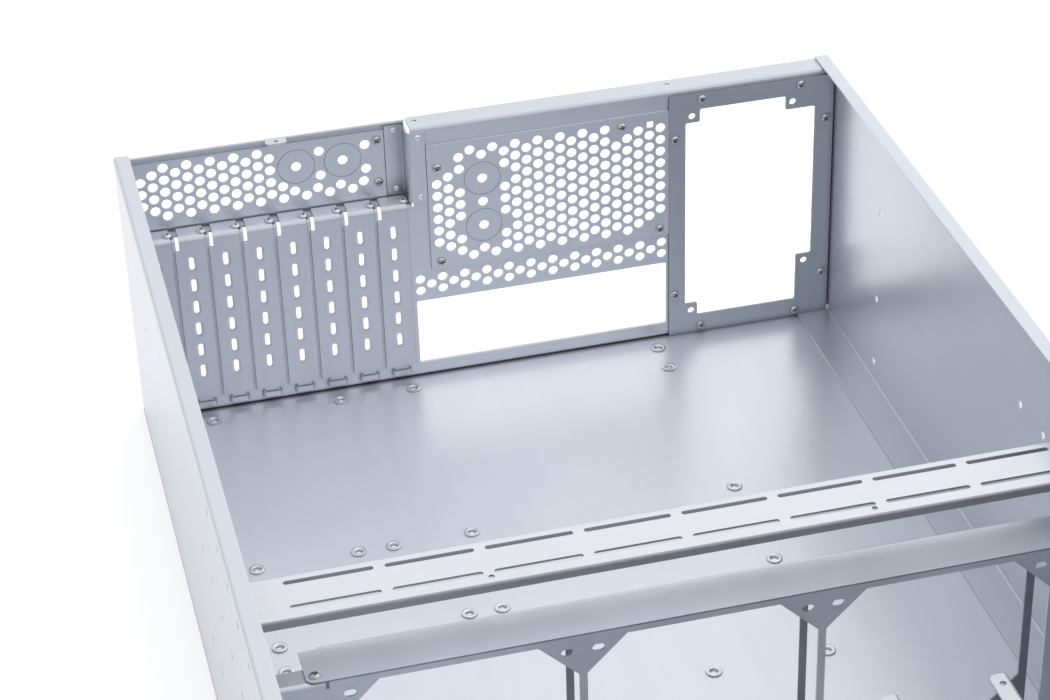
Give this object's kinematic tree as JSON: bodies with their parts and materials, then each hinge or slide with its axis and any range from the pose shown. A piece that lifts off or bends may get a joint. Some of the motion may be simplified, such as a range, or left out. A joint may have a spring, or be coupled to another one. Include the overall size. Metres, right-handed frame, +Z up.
{
  "type": "rackmount server case",
  "caption": "Open rackmount server case of folded steel sheet with a vented rear panel, slot covers, a cross bar, a fan wall, drive dividers, rack ears and handles.",
  "frame": {"origin": "middle of the underside of the whole part", "axes": "+Y along the depth towards the rear panel, +X to the right seen from the front, +Z up"},
  "size_m": [0.4826, 0.685, 0.1759],
  "materials": {
    "tray_zinc": "rolled zinc coat, satin",
    "wall_zinc": "rolled zinc coat, satin",
    "panel_zinc": "rolled zinc coat, satin",
    "cover_zinc": "rolled zinc coat, satin",
    "bar_zinc": "rolled zinc coat, satin",
    "fan_zinc": "rolled zinc coat, satin",
    "divider_zinc": "rolled zinc coat, satin",
    "front_zinc": "rolled zinc coat, satin",
    "nickel": "nickel plate, bright",
    "handle_alloy": "satin"
  },
  "bodies": {
    "root": {"base_tray": "tray_zinc", "board_nuts": "nickel", "left_wall": "wall_zinc", "right_wall": "wall_zinc", "rear_panel": "panel_zinc", "corner_post": "panel_zinc", "post_rivets": "nickel", "corner_vent_plate": "panel_zinc", "middle_vent_plate": "panel_zinc", "psu_plate": "panel_zinc", "corner_plate_screws": "nickel", "middle_plate_screws": "nickel", "psu_plate_screws": "nickel", "slot_cover_1": "cover_zinc", "slot_cover_2": "cover_zinc", "slot_cover_3": "cover_zinc", "slot_cover_4": "cover_zinc", "slot_cover_5": "cover_zinc", "slot_cover_6": "cover_zinc", "slot_cover_7": "cover_zinc", "slot_cover_8": "cover_zinc", "slot_cover_screws": "nickel", "cross_bar": "bar_zinc", "cross_bar_screws": "nickel", "fan_wall_front": "fan_zinc", "fan_wall_rear": "fan_zinc", "fan_wall_screws": "nickel", "fan_wall_nuts": "nickel", "drive_divider_1": "divider_zinc", "drive_divider_2": "divider_zinc", "drive_divider_3": "divider_zinc", "drive_divider_4": "divider_zinc", "front_panel": "front_zinc", "left_ear": "front_zinc", "right_ear": "front_zinc", "ear_screws": "nickel", "left_handle": "handle_alloy", "right_handle": "handle_alloy", "handle_screws": "nickel"}
  },
  "joints": []
}
